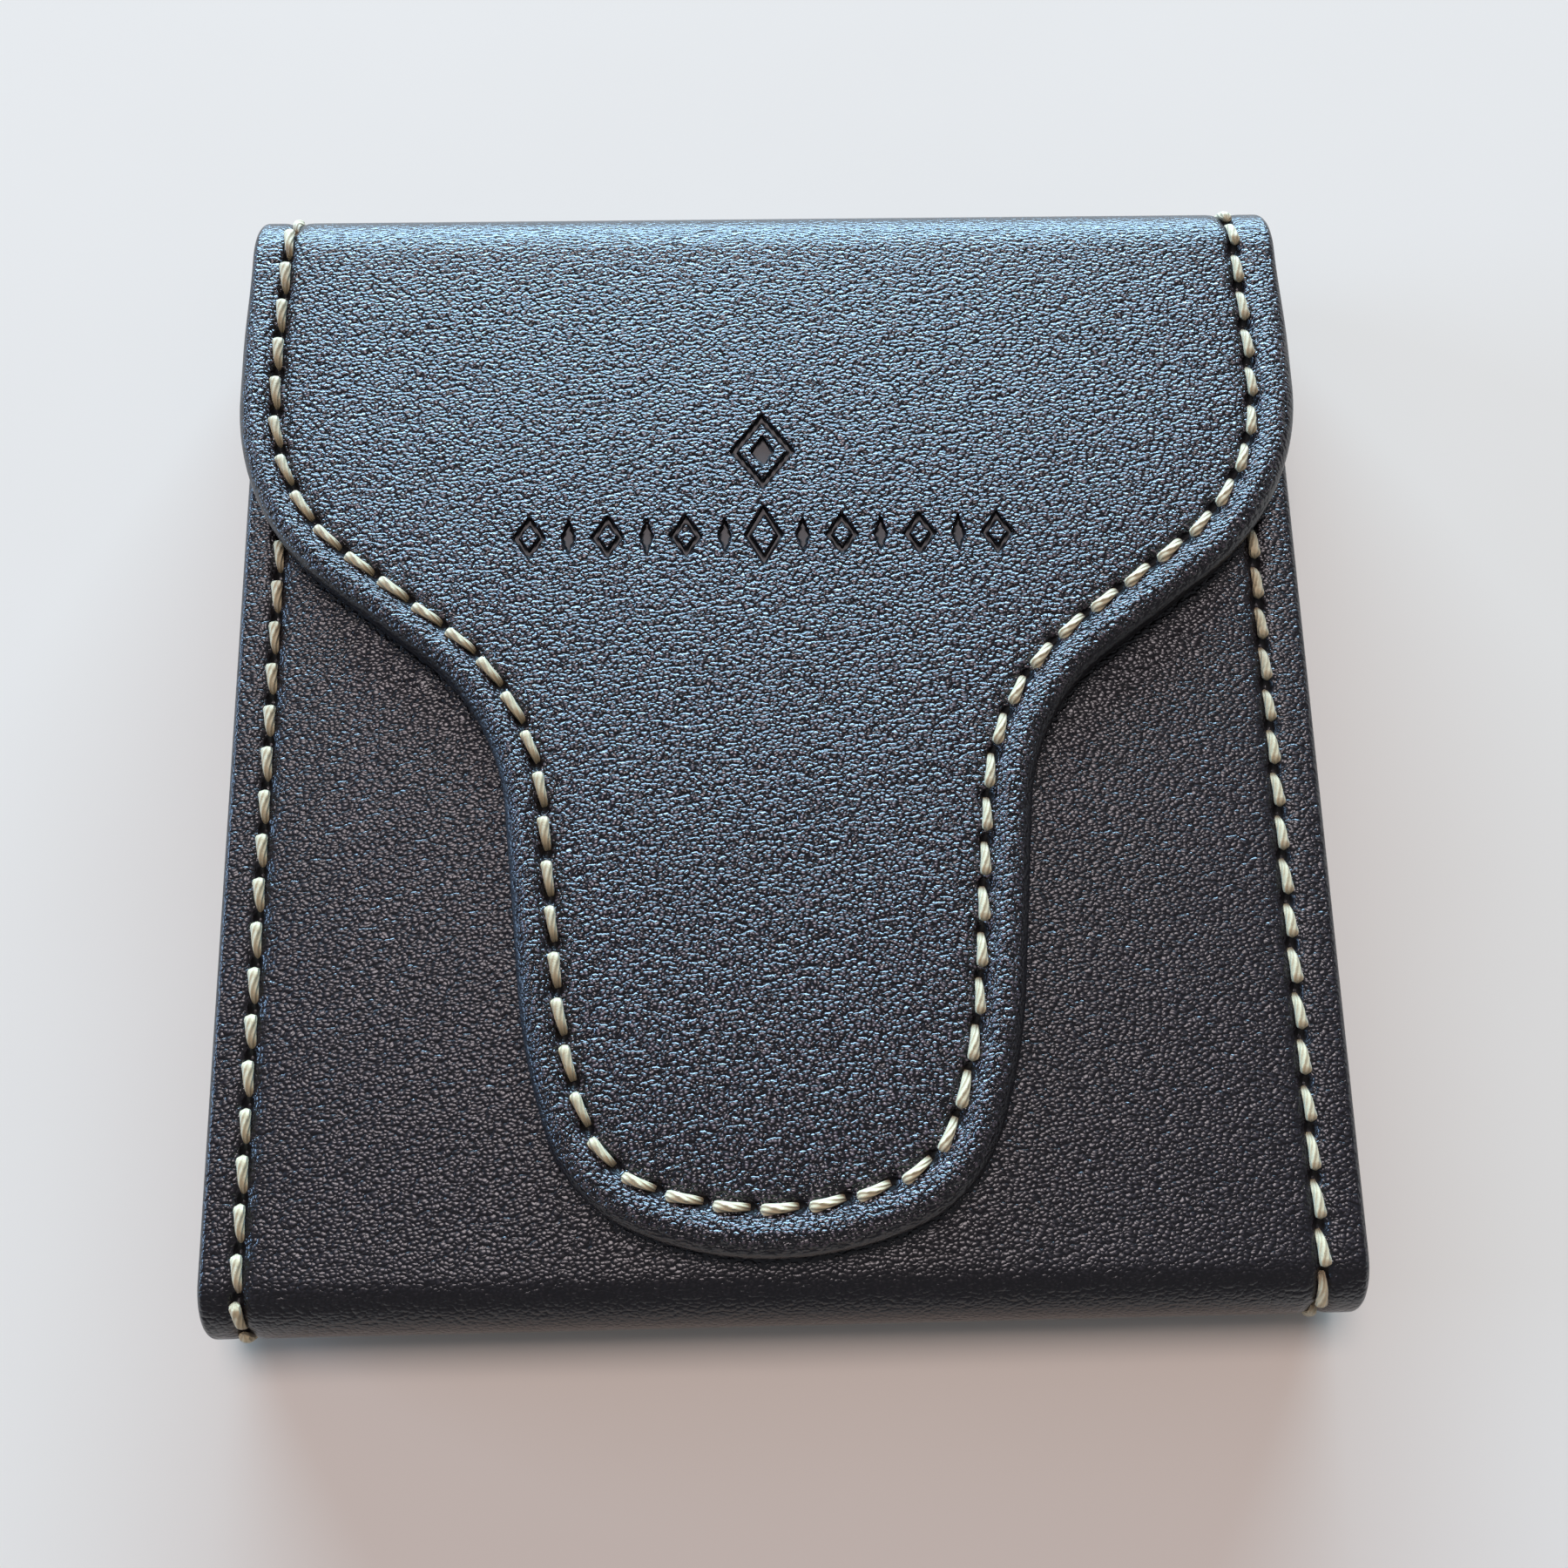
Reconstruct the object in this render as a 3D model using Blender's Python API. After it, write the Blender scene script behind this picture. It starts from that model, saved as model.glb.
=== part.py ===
"""Flap-over leather money clip case, lying on its back with the flap shut.

Metres, +X to the right of someone facing the flap, +Y towards the top fold, +Z up through
the closed flap.
The origin is under the middle of the case, on the surface that the back panel rests on.
One strip of leather runs from the mouth of the front panel, round the bottom fold, up the
back, over the top fold and down the flap. It is built in three bodies (case, fold, flap).
"""
import math

import bmesh
import bpy
from mathutils import Matrix, Vector

MM = 0.001

# Driving dimensions
CASE_LENGTH = 104.4 * MM        # bottom fold to top fold
CASE_HALF_WIDTH = 49.2 * MM
FLAP_HALF_WIDTH = 49.5 * MM
POCKET_GAP = 5.0 * MM           # room between the front and back linings
LEATHER = 0.8 * MM
BOARD = 0.6 * MM
LINING = 0.6 * MM
CLEARANCE = 0.3 * MM            # glue line or running gap between two pieces
MOUTH_SETBACK = 11.7 * MM       # front panel's mouth, measured from the top fold

# Layers of one panel, as depths below its leather face
BOARD_TOP = LEATHER + CLEARANCE
BOARD_UNDER = BOARD_TOP + BOARD
LINING_TOP = BOARD_UNDER + CLEARANCE
PANEL = LINING_TOP + LINING

# Heights and places that follow
CASE_HEIGHT = 2 * PANEL + POCKET_GAP
FLAP_HEIGHT = CASE_HEIGHT + CLEARANCE + PANEL
BOTTOM_RADIUS = CASE_HEIGHT / 2
TOP_RADIUS = FLAP_HEIGHT / 2
BOTTOM_Y = -CASE_LENGTH / 2 + BOTTOM_RADIUS
TOP_Y = CASE_LENGTH / 2 - TOP_RADIUS
MOUTH_Y = CASE_LENGTH / 2 - MOUTH_SETBACK
PANEL_END_Y = TOP_Y - CLEARANCE
POCKET_FLOOR = PANEL

# Turned edges and the stitching groove
EDGE_TURN = 0.8 * MM
SEAM_INSET = 4.0 * MM
GROOVE_WIDTH = 1.5 * MM
GROOVE_DEPTH = 0.6 * MM
THREAD_WIDTH = 0.9 * MM
THREAD_HEIGHT = 0.4 * MM
LINING_INSET = EDGE_TURN + CLEARANCE
BOARD_SETBACK = 2.0 * MM        # boards stop short of the folds, so that these bend

# Flap seam, as a chain of tangent pieces from the top fold to the middle of the tongue
FLAP_SEAM_X = FLAP_HALF_WIDTH - SEAM_INSET
SHOULDER_Y = 31.2 * MM
SHOULDER_RADIUS = 19.8 * MM
SHOULDER_TURN = math.radians(52.5)
DIAGONAL_LENGTH = 11.7 * MM
WAIST_RADIUS = 23.4 * MM
TONGUE_TAPER = math.radians(5.1)
TONGUE_SIDE = 15.7 * MM
FLANK_RADIUS = 44.0 * MM
FLANK_TURN = math.radians(15.0)
CORNER_RADIUS = 9.1 * MM
CORNER_TURN = math.radians(48.7)
TONGUE_SHIFT = -0.8 * MM        # the tongue hangs slightly left of centre

# Hinge lines of the top fold: the leather unrolls about two lines, half of the turn each
FOLD_NEUTRAL_RADIUS = TOP_RADIUS - LEATHER / 2
HINGE_OFFSET = math.pi / 4 * FOLD_NEUTRAL_RADIUS
HINGE_Y = TOP_Y + HINGE_OFFSET

# Magnetic closure
MAGNET_RADIUS = 5.0 * MM
MAGNET_Y = -31.5 * MM

# Side gussets
GUSSET = 0.6 * MM
GUSSET_BEND_X = 43.0 * MM

# Spring clip inside the pocket
STEEL = 0.5 * MM
CLIP_BASE_Z = POCKET_FLOOR + CLEARANCE
CLIP_BASE_HALF_WIDTH = 13.0 * MM
CLIP_BASE_TOP_Y = 10.0 * MM
CLIP_BEND_Y = -34.3 * MM
CLIP_BEND_RADIUS = 0.8 * MM
CLIP_ARM_HALF_WIDTH = 6.5 * MM
CLIP_NIP_Y = 4.0 * MM
CLIP_TIP_Y = 14.0 * MM
CLIP_FLARE = 1.3 * MM
RIVET_X = 9.6 * MM
RIVET_Y = -12.0 * MM
RIVET_SHANK = 1.0 * MM
RIVET_HEAD = 2.2 * MM

LEATHER_BROWN = (0.055, 0.040, 0.040)
LINING_BROWN = (0.090, 0.065, 0.055)
BOARD_GREY = (0.25, 0.22, 0.19)
THREAD_CREAM = (0.62, 0.55, 0.42)
STEEL_GREY = (0.60, 0.60, 0.62)


def clear_scene():
    for old in list(bpy.data.objects):
        bpy.data.objects.remove(old, do_unlink=True)


def make_material(name, colour, roughness, metallic=0.0):
    material = bpy.data.materials.new(name)
    material.use_nodes = True
    shader = material.node_tree.nodes["Principled BSDF"]
    shader.inputs["Base Color"].default_value = (*colour, 1.0)
    shader.inputs["Roughness"].default_value = roughness
    shader.inputs["Metallic"].default_value = metallic
    return material


def add_pivot(name, place, parent=None):
    """An empty on a joint's axis; place is in world coordinates."""
    pivot = bpy.data.objects.new(name, None)
    pivot.empty_display_size = 5 * MM
    pivot.parent = parent
    pivot.location = place - (world_place(parent) if parent else Vector())
    bpy.context.scene.collection.objects.link(pivot)
    return pivot


def world_place(pivot):
    place = Vector()
    while pivot:
        place += pivot.location
        pivot = pivot.parent
    return place


def add_piece(name, bm, material, pivot=None, smooth=False):
    """Close up a bmesh made in world coordinates and hang it on its pivot."""
    bmesh.ops.remove_doubles(bm, verts=bm.verts, dist=0.001 * MM)
    bmesh.ops.dissolve_degenerate(bm, edges=bm.edges, dist=0.001 * MM)
    bmesh.ops.recalc_face_normals(bm, faces=bm.faces)
    if pivot:
        bmesh.ops.translate(bm, verts=bm.verts, vec=-world_place(pivot))
    mesh = bpy.data.meshes.new(name)
    bm.to_mesh(mesh)
    bm.free()
    if smooth:
        mesh.shade_smooth()
        mesh.set_sharp_from_angle(angle=math.radians(35))
    mesh.materials.append(material)
    piece = bpy.data.objects.new(name, mesh)
    piece.parent = pivot
    bpy.context.scene.collection.objects.link(piece)
    return piece


def add_hole(piece, name, centre, radius):
    """Cut a round hole along Z with a hidden cutter."""
    bm = bmesh.new()
    bmesh.ops.create_cone(bm, cap_ends=True, segments=24, radius1=radius, radius2=radius,
                          depth=10 * PANEL, matrix=Matrix.Translation(centre))
    cutter = add_piece(name, bm, piece.data.materials[0])
    cutter.hide_render = True
    cutter.display_type = 'WIRE'
    cut = piece.modifiers.new(name, 'BOOLEAN')
    cut.operation = 'DIFFERENCE'
    cut.object = cutter


def sweep(stations):
    """Skin closed loops of points one after another and cap both ends."""
    bm = bmesh.new()
    rings = [[bm.verts.new(point) for point in station] for station in stations]
    count = len(rings[0])
    for ring, following in zip(rings, rings[1:]):
        for k in range(count):
            after = (k + 1) % count
            bm.faces.new((ring[k], ring[after], following[after], following[k]))
    bm.faces.new(rings[0])
    bm.faces.new(list(reversed(rings[-1])))
    return bm


def plate(outline, low, high):
    """A flat plate with an outline in XY, between two heights."""
    return sweep([[Vector((x, y, z)) for x, y in outline] for z in (low, high)])


def rectangle(half_width, low_y, high_y):
    return [(-half_width, low_y), (half_width, low_y), (half_width, high_y), (-half_width, high_y)]


def case_path(mouth_y, back_y, steps=16):
    """Outer face of the front, bottom fold and back, as (y, z, inward y, inward z)."""
    path = [(mouth_y, CASE_HEIGHT, 0.0, -1.0)]
    for k in range(steps + 1):
        angle = math.pi / 2 + math.pi * k / steps
        across, up = math.cos(angle), math.sin(angle)
        path.append((BOTTOM_Y + BOTTOM_RADIUS * across, BOTTOM_RADIUS + BOTTOM_RADIUS * up,
                     -across, -up))
    path.append((back_y, 0.0, 0.0, 1.0))
    return path


def fold_path(steps=12):
    """Outer face of the top fold, from the back panel up to the flap."""
    path = []
    for k in range(steps + 1):
        angle = -math.pi / 2 + math.pi * k / steps
        across, up = math.cos(angle), math.sin(angle)
        path.append((TOP_Y + TOP_RADIUS * across, TOP_RADIUS + TOP_RADIUS * up, -across, -up))
    return path


def place_section(section, frame):
    """Put (x, depth) points of a section at one place of a path."""
    y, z, inward_y, inward_z = frame
    return [Vector((x, y + depth * inward_y, z + depth * inward_z)) for x, depth in section]


def channel_section(open_depth):
    """Leather face with two stitching grooves and both edges turned down to the lining."""
    seam = CASE_HALF_WIDTH - SEAM_INSET
    right = [(seam - GROOVE_WIDTH / 2, 0.0), (seam - GROOVE_WIDTH / 2, GROOVE_DEPTH),
             (seam + GROOVE_WIDTH / 2, GROOVE_DEPTH), (seam + GROOVE_WIDTH / 2, 0.0),
             (CASE_HALF_WIDTH - EDGE_TURN / 2, 0.0), (CASE_HALF_WIDTH, EDGE_TURN / 2),
             (CASE_HALF_WIDTH, PANEL), (CASE_HALF_WIDTH - EDGE_TURN, PANEL),
             (CASE_HALF_WIDTH - EDGE_TURN, open_depth)]
    return right + [(-x, depth) for x, depth in reversed(right)]


def strip_section(half_width, shallow, deep):
    return [(half_width, shallow), (half_width, deep), (-half_width, deep), (-half_width, shallow)]


def thread_section(x):
    """A flattened bead that lies in the stitching groove."""
    wide, narrow = THREAD_WIDTH / 2, THREAD_WIDTH / 4
    return [(x - narrow, 0.0), (x + narrow, 0.0), (x + wide, THREAD_HEIGHT / 2),
            (x + narrow, THREAD_HEIGHT), (x - narrow, THREAD_HEIGHT), (x - wide, THREAD_HEIGHT / 2)]


def flap_line(offset, top_y):
    """The flap seam moved outwards by offset, from the right end over the tongue to the left."""
    heading, x, y = 0.0, FLAP_SEAM_X, SHOULDER_Y
    half = [(x + offset, top_y), (x + offset, y)]

    def turn(radius, angle, steps):
        nonlocal heading, x, y
        side = math.copysign(1.0, angle)
        centre_x = x - side * radius * math.cos(heading)
        centre_y = y + side * radius * math.sin(heading)
        start = heading
        for k in range(1, steps + 1):
            heading = start + angle * k / steps
            x = centre_x + side * radius * math.cos(heading)
            y = centre_y - side * radius * math.sin(heading)
            half.append((x + offset * math.cos(heading), y - offset * math.sin(heading)))

    def run(length):
        nonlocal x, y
        x -= length * math.sin(heading)
        y -= length * math.cos(heading)
        half.append((x + offset * math.cos(heading), y - offset * math.sin(heading)))

    turn(SHOULDER_RADIUS, SHOULDER_TURN, 8)
    run(DIAGONAL_LENGTH)
    turn(WAIST_RADIUS, TONGUE_TAPER - SHOULDER_TURN, 8)
    run(TONGUE_SIDE)
    turn(FLANK_RADIUS, FLANK_TURN, 4)
    turn(CORNER_RADIUS, CORNER_TURN, 6)
    turn(x / math.cos(heading), math.pi / 2 - heading, 4)
    line = half + [(-px, py) for px, py in reversed(half[:-1])]
    return [(px + TONGUE_SHIFT * tongue_share(py), py) for px, py in line]


def tongue_share(y):
    """0 on the shoulders, 1 on the tongue, with a smooth change across the diagonals."""
    share = min(max((SHOULDER_Y - y) / (SHOULDER_RADIUS + DIAGONAL_LENGTH), 0.0), 1.0)
    return share * share * (3 - 2 * share)


def flap_tray():
    """Flap leather: face with a stitching groove, rounded rim and turned edge."""
    groove_in = SEAM_INSET + GROOVE_WIDTH / 2
    groove_out = SEAM_INSET - GROOVE_WIDTH / 2
    profile = [(groove_in, 0.0), (groove_in, GROOVE_DEPTH), (groove_out, GROOVE_DEPTH), (groove_out, 0.0),
               (EDGE_TURN, 0.0), (EDGE_TURN / 4, EDGE_TURN / 4), (0.0, EDGE_TURN), (0.0, PANEL),
               (EDGE_TURN, PANEL), (EDGE_TURN, LEATHER)]
    bm = bmesh.new()
    rings = []
    for inset, depth in profile:
        line = flap_line(SEAM_INSET - inset, PANEL_END_Y)
        rings.append([bm.verts.new((x, y, FLAP_HEIGHT - depth)) for x, y in line])
    for ring, following in zip(rings, rings[1:]):
        for k in range(len(ring) - 1):
            bm.faces.new((ring[k], ring[k + 1], following[k + 1], following[k]))
    bm.faces.new(rings[0])
    bm.faces.new(rings[-1])
    bm.faces.new([ring[0] for ring in rings] + [ring[-1] for ring in reversed(rings)])
    return bm


def flap_thread():
    """The seam's bead, all round the flap."""
    half_width = THREAD_WIDTH / 2
    corners = [(-half_width / 2, 0.0), (half_width / 2, 0.0), (half_width, THREAD_HEIGHT / 2),
               (half_width / 2, THREAD_HEIGHT), (-half_width / 2, THREAD_HEIGHT),
               (-half_width, THREAD_HEIGHT / 2)]
    lines = [(flap_line(offset, PANEL_END_Y), FLAP_HEIGHT - depth) for offset, depth in corners]
    count = len(lines[0][0])
    return sweep([[Vector((*line[k], height)) for line, height in lines] for k in range(count)])


def gusset_section(side, outer):
    """A leather strip folded inwards between the panels, its open side facing out."""
    middle = CASE_HEIGHT / 2
    edge = CASE_HALF_WIDTH - CLEARANCE
    steps = 8
    section = []
    for radius, order in ((outer, range(steps + 1)), (outer - GUSSET, range(steps, -1, -1))):
        bend = []
        for k in order:
            angle = -math.pi / 2 - math.pi * k / steps
            bend.append((GUSSET_BEND_X + radius * math.cos(angle), middle + radius * math.sin(angle)))
        first = (edge, bend[0][1])
        last = (edge, bend[-1][1])
        section += [first] + bend + [last]
    return [(side * x, z) for x, z in section]


def gusset_stations(side):
    """From the mouth down to the bottom fold, where the strip is pinched shut inside the round."""
    outer = POCKET_GAP / 2 - CLEARANCE
    stations = [(MOUTH_Y - CLEARANCE, outer)]
    for degrees in (0, 20, 35, 48, 60, 68):
        angle = math.radians(degrees)
        stations.append((BOTTOM_Y - outer * math.sin(angle), outer * math.cos(angle)))
    return [[Vector((x, y, z)) for x, z in gusset_section(side, radius)] for y, radius in stations]


def build_case(leather, lining, board, thread, steel):
    mouth = [(MOUTH_Y, CASE_HEIGHT, 0.0, -1.0), (MOUTH_Y - EDGE_TURN, CASE_HEIGHT, 0.0, -1.0)]
    body = case_path(MOUTH_Y - EDGE_TURN, PANEL_END_Y)
    stations = [place_section(channel_section(PANEL), frame) for frame in mouth]
    stations += [place_section(channel_section(LEATHER), frame) for frame in body]
    add_piece("case_cover", sweep(stations), leather, smooth=True)

    inner_width = CASE_HALF_WIDTH - LINING_INSET
    section = strip_section(inner_width, LINING_TOP, PANEL)
    path = case_path(MOUTH_Y - LINING_INSET, PANEL_END_Y)
    skin = sweep([place_section(section, frame) for frame in path])
    case_lining = add_piece("case_lining", skin, lining, smooth=True)

    low = BOTTOM_Y + BOARD_SETBACK
    front = plate(rectangle(inner_width, low, MOUTH_Y - LINING_INSET), CASE_HEIGHT - BOARD_UNDER,
                  CASE_HEIGHT - BOARD_TOP)
    front_board = add_piece("front_board", front, board)
    back = plate(rectangle(inner_width, low, PANEL_END_Y - BOARD_SETBACK), BOARD_TOP, BOARD_UNDER)
    back_board = add_piece("back_board", back, board)

    keeper_place = Vector((TONGUE_SHIFT, MAGNET_Y, CASE_HEIGHT - (BOARD_TOP + BOARD_UNDER) / 2))
    add_disc("front_keeper", keeper_place, steel)
    add_hole(front_board, "keeper_hole", keeper_place, MAGNET_RADIUS + CLEARANCE)

    for name, side in (("right_gusset", 1), ("left_gusset", -1)):
        add_piece(name, sweep(gusset_stations(side)), leather, smooth=True)

    path = case_path(MOUTH_Y - LINING_INSET, PANEL_END_Y)
    for name, side in (("case_thread_right", 1), ("case_thread_left", -1)):
        section = thread_section(side * (CASE_HALF_WIDTH - SEAM_INSET))
        add_piece(name, sweep([place_section(section, frame) for frame in path]), thread, smooth=True)
    return case_lining, back_board


def add_disc(name, place, material, pivot=None):
    bm = bmesh.new()
    bmesh.ops.create_cone(bm, cap_ends=True, segments=32, radius1=MAGNET_RADIUS, radius2=MAGNET_RADIUS,
                          depth=BOARD, matrix=Matrix.Translation(place))
    return add_piece(name, bm, material, pivot, smooth=True)


def build_clip(case_lining, back_board, clip_pivot, steel):
    outline = rectangle(CLIP_BASE_HALF_WIDTH, CLIP_BEND_Y + CLEARANCE, CLIP_BASE_TOP_Y)
    clip_base = add_piece("clip_base", plate(outline, CLIP_BASE_Z, CLIP_BASE_Z + STEEL), steel)

    tail_top = BOARD_UNDER - CLEARANCE / 2
    head_seat = CLIP_BASE_Z + STEEL + CLEARANCE
    rivet_profile = [(0.0, BOARD_TOP), (RIVET_HEAD, BOARD_TOP), (RIVET_HEAD, tail_top),
                     (RIVET_SHANK, tail_top), (RIVET_SHANK, head_seat), (RIVET_HEAD, head_seat),
                     (RIVET_HEAD * 0.8, head_seat + STEEL), (0.0, head_seat + STEEL + CLEARANCE)]
    for name, side in (("clip_rivet_right", 1), ("clip_rivet_left", -1)):
        place = Vector((side * RIVET_X, RIVET_Y, 0.0))
        add_piece(name, turned(rivet_profile, place), steel, smooth=True)
        add_hole(clip_base, name + "_base_hole", place, RIVET_SHANK + CLEARANCE)
        add_hole(case_lining, name + "_lining_hole", place, RIVET_SHANK + CLEARANCE)
        add_hole(back_board, name + "_board_hole", place, RIVET_HEAD + CLEARANCE)

    add_piece("clip_arm", sweep(clip_arm_stations()), steel, clip_pivot, smooth=True)


def turned(profile, place, segments=20):
    """A round piece from a profile of (radius, height) that starts and ends on its axis."""
    bm = bmesh.new()
    verts = [bm.verts.new((place.x + radius, place.y, height)) for radius, height in profile]
    edges = [bm.edges.new(pair) for pair in zip(verts, verts[1:])]
    bmesh.ops.spin(bm, geom=verts + edges, cent=place, axis=(0, 0, 1), angle=2 * math.pi, steps=segments)
    return bm


def clip_arm_stations():
    """Bent end round the base's lower edge, then an arm that nips the base and flares up."""
    centre_z = CLIP_BASE_Z + CLIP_BEND_RADIUS
    root_top = centre_z + CLIP_BEND_RADIUS
    nip_top = CLIP_BASE_Z + 2 * STEEL + CLEARANCE
    frames = []
    bend_steps = 8
    for k in range(bend_steps + 1):
        angle = 3 * math.pi / 2 - math.pi * k / bend_steps
        across, up = math.cos(angle), math.sin(angle)
        frames.append((CLIP_BEND_Y + CLIP_BEND_RADIUS * across, centre_z + CLIP_BEND_RADIUS * up,
                       -across, -up))
    arm_steps = 12
    for k in range(1, arm_steps + 1):
        share = k / arm_steps
        ease = share * share * (3 - 2 * share)
        frames.append((CLIP_BEND_Y + (CLIP_NIP_Y - CLIP_BEND_Y) * share,
                       root_top + (nip_top - root_top) * ease, 0.0, -1.0))
    flare_steps = 8
    for k in range(1, flare_steps + 1):
        share = k / flare_steps
        frames.append((CLIP_NIP_Y + (CLIP_TIP_Y - CLIP_NIP_Y) * share, nip_top + CLIP_FLARE * share ** 2,
                       0.0, -1.0))
    stations = []
    for frame in frames:
        past = max(frame[0] - (CLIP_TIP_Y - CLIP_ARM_HALF_WIDTH), 0.0)
        rounding = math.sqrt(max(1 - (past / CLIP_ARM_HALF_WIDTH) ** 2, 0.04))
        stations.append(place_section(strip_section(CLIP_ARM_HALF_WIDTH * rounding, 0.0, STEEL), frame))
    return stations


def build_fold(fold_pivot, leather, lining, thread):
    path = fold_path()
    section = channel_section(LEATHER)
    add_piece("fold_cover", sweep([place_section(section, frame) for frame in path]), leather, fold_pivot,
              smooth=True)
    section = strip_section(CASE_HALF_WIDTH - LINING_INSET, LINING_TOP, PANEL)
    add_piece("fold_lining", sweep([place_section(section, frame) for frame in path]), lining, fold_pivot,
              smooth=True)
    for name, side in (("fold_thread_right", 1), ("fold_thread_left", -1)):
        section = thread_section(side * (CASE_HALF_WIDTH - SEAM_INSET))
        add_piece(name, sweep([place_section(section, frame) for frame in path]), thread, fold_pivot,
                  smooth=True)


def build_flap(flap_pivot, leather, lining, board, thread, steel):
    add_piece("flap_cover", flap_tray(), leather, flap_pivot, smooth=True)
    inside = SEAM_INSET - LINING_INSET
    stiffener = plate(flap_line(inside, PANEL_END_Y - BOARD_SETBACK), FLAP_HEIGHT - BOARD_UNDER,
                      FLAP_HEIGHT - BOARD_TOP)
    flap_board = add_piece("flap_board", stiffener, board, flap_pivot)
    skin = plate(flap_line(inside, PANEL_END_Y), FLAP_HEIGHT - PANEL, FLAP_HEIGHT - LINING_TOP)
    add_piece("flap_lining", skin, lining, flap_pivot)
    magnet_place = Vector((TONGUE_SHIFT, MAGNET_Y, FLAP_HEIGHT - (BOARD_TOP + BOARD_UNDER) / 2))
    add_disc("flap_magnet", magnet_place, steel, flap_pivot)
    add_hole(flap_board, "magnet_hole", magnet_place, MAGNET_RADIUS + CLEARANCE)
    add_piece("flap_thread", flap_thread(), thread, flap_pivot, smooth=True)


def main():
    clear_scene()
    leather = make_material("leather", LEATHER_BROWN, 0.5)
    lining = make_material("lining", LINING_BROWN, 0.9)
    board = make_material("board", BOARD_GREY, 0.8)
    thread = make_material("thread", THREAD_CREAM, 0.7)
    steel = make_material("steel", STEEL_GREY, 0.3, metallic=1.0)

    fold_pivot = add_pivot("fold_axis", Vector((0.0, HINGE_Y, TOP_RADIUS - HINGE_OFFSET)))
    flap_pivot = add_pivot("flap_axis", Vector((0.0, HINGE_Y, TOP_RADIUS + HINGE_OFFSET)), fold_pivot)
    clip_pivot = add_pivot("clip_axis", Vector((0.0, CLIP_BEND_Y, CLIP_BASE_Z + CLIP_BEND_RADIUS)))

    case_lining, back_board = build_case(leather, lining, board, thread, steel)
    build_clip(case_lining, back_board, clip_pivot, steel)
    build_fold(fold_pivot, leather, lining, thread)
    build_flap(flap_pivot, leather, lining, board, thread, steel)


main()
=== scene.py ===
import math

import bmesh
import bpy
import numpy as np
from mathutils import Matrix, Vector, geometry, kdtree


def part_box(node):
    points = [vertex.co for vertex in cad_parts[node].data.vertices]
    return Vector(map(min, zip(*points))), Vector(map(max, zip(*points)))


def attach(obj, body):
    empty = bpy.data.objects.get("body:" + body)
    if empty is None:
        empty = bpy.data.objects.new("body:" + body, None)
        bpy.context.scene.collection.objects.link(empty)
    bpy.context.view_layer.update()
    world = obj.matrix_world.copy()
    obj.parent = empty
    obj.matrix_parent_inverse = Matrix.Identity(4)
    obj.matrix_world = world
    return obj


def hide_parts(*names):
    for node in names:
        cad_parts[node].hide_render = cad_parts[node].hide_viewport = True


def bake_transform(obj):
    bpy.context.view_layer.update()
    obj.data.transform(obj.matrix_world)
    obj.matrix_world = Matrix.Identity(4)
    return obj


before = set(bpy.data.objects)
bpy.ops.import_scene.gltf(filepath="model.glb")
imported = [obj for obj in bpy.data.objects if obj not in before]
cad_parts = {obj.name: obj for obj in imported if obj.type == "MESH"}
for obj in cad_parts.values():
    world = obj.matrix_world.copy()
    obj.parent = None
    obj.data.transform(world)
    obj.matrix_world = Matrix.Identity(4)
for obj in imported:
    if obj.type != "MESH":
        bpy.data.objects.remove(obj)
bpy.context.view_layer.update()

# Looks of a flap-over leather money clip case: pebbled leather, sewn seams, suede and steel.
# Lengths are in metres. The strip of leather runs from the front's mouth, round the bottom
# fold, up the back and over the top fold, and places on it are told by their distance from
# the mouth.
MM = 0.001

# ---------------------------------------------------------------- sizes, from the frame
case_low, case_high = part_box("case_cover")
flap_low, flap_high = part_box("flap_cover")
fold_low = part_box("fold_cover")[0]
seam_low, seam_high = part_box("case_thread_right")
lining_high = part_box("fold_lining")[1]
skin_low, skin_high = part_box("flap_lining")

HALF_WIDTH = case_high.x
FLAP_HALF_WIDTH = flap_high.x
PANEL = flap_high.z - flap_low.z               # leather, board and lining together
CASE_TOP = case_high.z
FLAP_TOP = flap_high.z
BOTTOM_RADIUS = CASE_TOP / 2
TOP_RADIUS = FLAP_TOP / 2
BOTTOM_Y = case_low.y + BOTTOM_RADIUS
TOP_Y = fold_low.y
SEAM_INSET = HALF_WIDTH - (seam_low.x + seam_high.x) / 2
LINING_INSET = HALF_WIDTH - lining_high.x
LINING_DEPTH = PANEL - (skin_high.z - skin_low.z)
MOUTH_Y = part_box("front_board")[1].y + LINING_INSET

# Leather profile across an edge
EDGE_RADIUS = 0.8 * MM
LEFT_TRIM = 0.65 * MM                          # the left margins are cut this much narrower
TURN_IN = 0.8 * MM
LEATHER_UNDER = 0.9 * MM
GROOVE_DEPTH = 0.38 * MM
GROOVE_SPREAD = 0.72 * MM
ROLL_HEIGHT = 0.60 * MM
ROLL_INSET = 1.95 * MM
ROLL_SPREAD = 1.35 * MM
FIELD_DROP = 0.12 * MM                         # the flap's field lies this much below its rim
PILLOW = 0.20 * MM                             # and swells back up by this much
WAVES = 0.07 * MM

# Stitches
PITCH = 4.0 * MM
STEPS_PER_STITCH = 14
STITCH_LENGTH = 3.2 * MM
STITCH_RADIUS = 0.52 * MM
SLANT = math.radians(6.0)
UNEVENNESS = math.radians(2.0)
SUNK = 0.16 * MM
UNDER_SUNK = 0.30 * MM
HOLE_DEPTH = 0.45 * MM
SEAM_START = 2.0 * MM                          # first hole, below the mouth

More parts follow.
